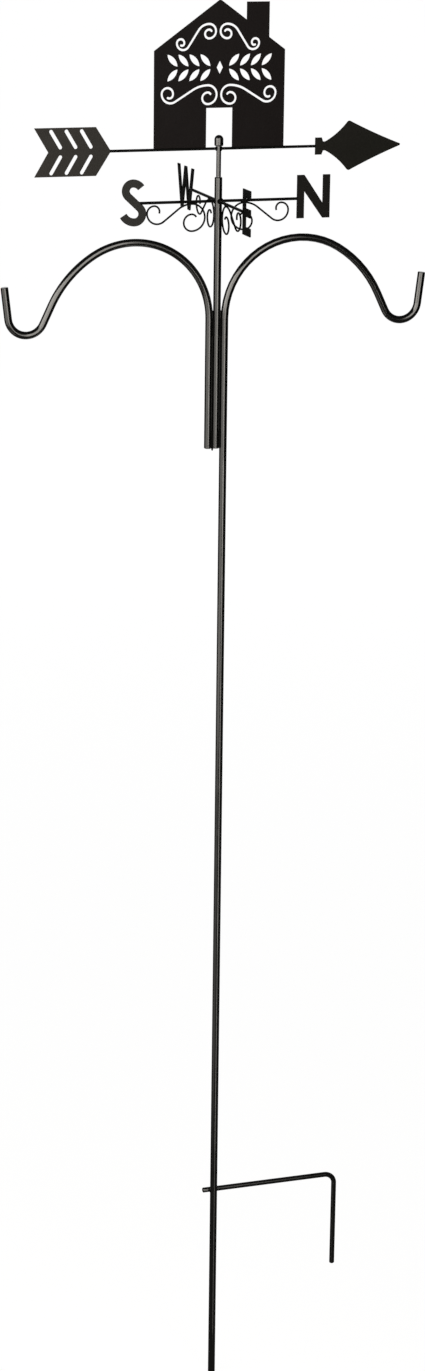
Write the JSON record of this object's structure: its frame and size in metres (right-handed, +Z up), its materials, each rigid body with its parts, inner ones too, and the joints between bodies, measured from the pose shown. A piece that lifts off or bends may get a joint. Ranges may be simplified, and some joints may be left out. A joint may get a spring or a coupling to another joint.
{
  "type": "shepherds hook",
  "caption": "Tall garden stake with bent hanging hooks either side of a mast, a foot bar with a ground prong, and a turning weathervane with compass letters and a house plate on top.",
  "frame": {"origin": "on the post's axis at ground level, which is the underside of the foot bar", "axes": "+Z up along the post, +X towards the post's own hook and the N, +Y towards the W"},
  "size_m": [0.694, 0.3777, 2.3375],
  "materials": {
    "bar_paint": "satin black paint on round steel bar",
    "wire_paint": "satin black paint on steel wire",
    "letter_paint": "satin black paint on steel sheet",
    "plate_paint": "satin black paint on steel sheet",
    "tail_paint": "satin black paint on steel sheet, slightly worn",
    "weld_paint": "painted weld",
    "bare_steel": "bare steel, out of sight"
  },
  "bodies": {
    "stand": {"main_post": "bar_paint", "left_hook": "bar_paint", "mast": "bar_paint", "foot_bar": "bar_paint", "pivot_pin": "bare_steel", "thrust_ball": "bare_steel", "north_arm": "wire_paint", "west_arm": "wire_paint", "south_arm": "wire_paint", "east_arm": "wire_paint", "north_letter": "letter_paint", "west_letter": "letter_paint", "south_letter": "letter_paint", "east_letter": "letter_paint", "north_scroll": "wire_paint", "west_scroll": "wire_paint", "south_scroll": "wire_paint", "east_scroll": "wire_paint", "shank_welds": "weld_paint", "foot_weld": "weld_paint", "arm_welds": "weld_paint", "scroll_welds": "weld_paint"},
    "vane": {"hub_sleeve": "bar_paint", "hub_cap": "bar_paint", "front_shaft": "wire_paint", "rear_shaft": "wire_paint", "house_plate": "plate_paint", "tail_plate": "tail_paint", "arrow_head": "plate_paint", "hub_welds": "weld_paint", "house_welds": "weld_paint"}
  },
  "joints": [
    {"name": "vane_spin", "type": "hinge", "parent": "stand", "child": "vane", "pos_m": [-0.0126, 0, 1.7725], "axis": [0, 0, 1], "continuous": true}
  ]
}
